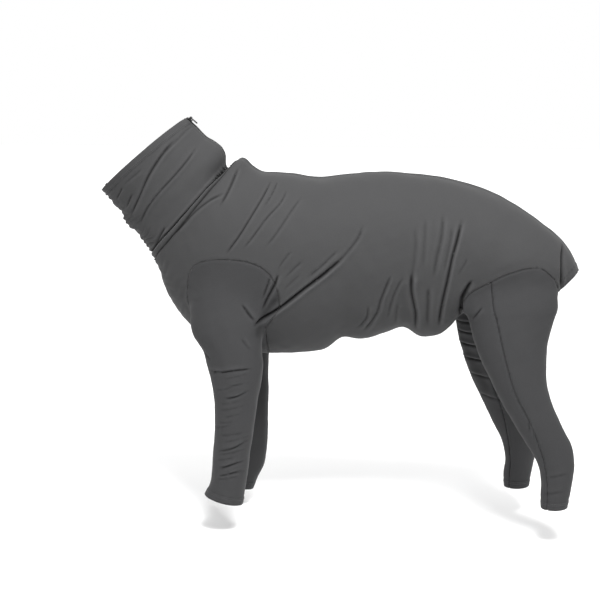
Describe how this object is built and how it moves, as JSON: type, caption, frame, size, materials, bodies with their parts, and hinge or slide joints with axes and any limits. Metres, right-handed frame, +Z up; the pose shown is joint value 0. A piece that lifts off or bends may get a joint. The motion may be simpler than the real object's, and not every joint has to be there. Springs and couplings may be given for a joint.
{
  "type": "dog jumpsuit",
  "caption": "Full-body stretch jersey jumpsuit for a large dog, with a tall neck tube, long sleeves, hind legs, an open tail end and a zip along the back.",
  "frame": {"origin": "top line of the back at the withers, where the suit hangs on its wearer's back", "axes": "+X along the back from the neck to the tail, +Y to the wearer's right, +Z up"},
  "size_m": [0.778, 0.25, 0.6416],
  "materials": {
    "jersey": "charcoal stretch jersey with a soft sheen",
    "zip_tape": "black woven tape",
    "zip_plastic": "black nylon coil",
    "zip_enamel": "black enamelled metal"
  },
  "bodies": {
    "suit": {"neck_tube": "jersey", "body_left": "jersey", "body_right": "jersey", "front_sleeve_left": "jersey", "front_sleeve_right": "jersey", "hind_leg_left_front_panel": "jersey", "hind_leg_left_rear_panel": "jersey", "hind_leg_right_front_panel": "jersey", "hind_leg_right_rear_panel": "jersey", "zip_tape_left": "zip_tape", "zip_tape_right": "zip_tape", "zip_coil": "zip_plastic", "zip_slider": "zip_enamel"},
    "pull": {"zip_pull": "zip_enamel"}
  },
  "joints": [
    {"name": "pull_hinge", "type": "hinge", "parent": "suit", "child": "pull", "pos_m": [-0.1379, 0, 0.08525], "axis": [0, -1, 0], "range_deg": [0, 150]}
  ]
}
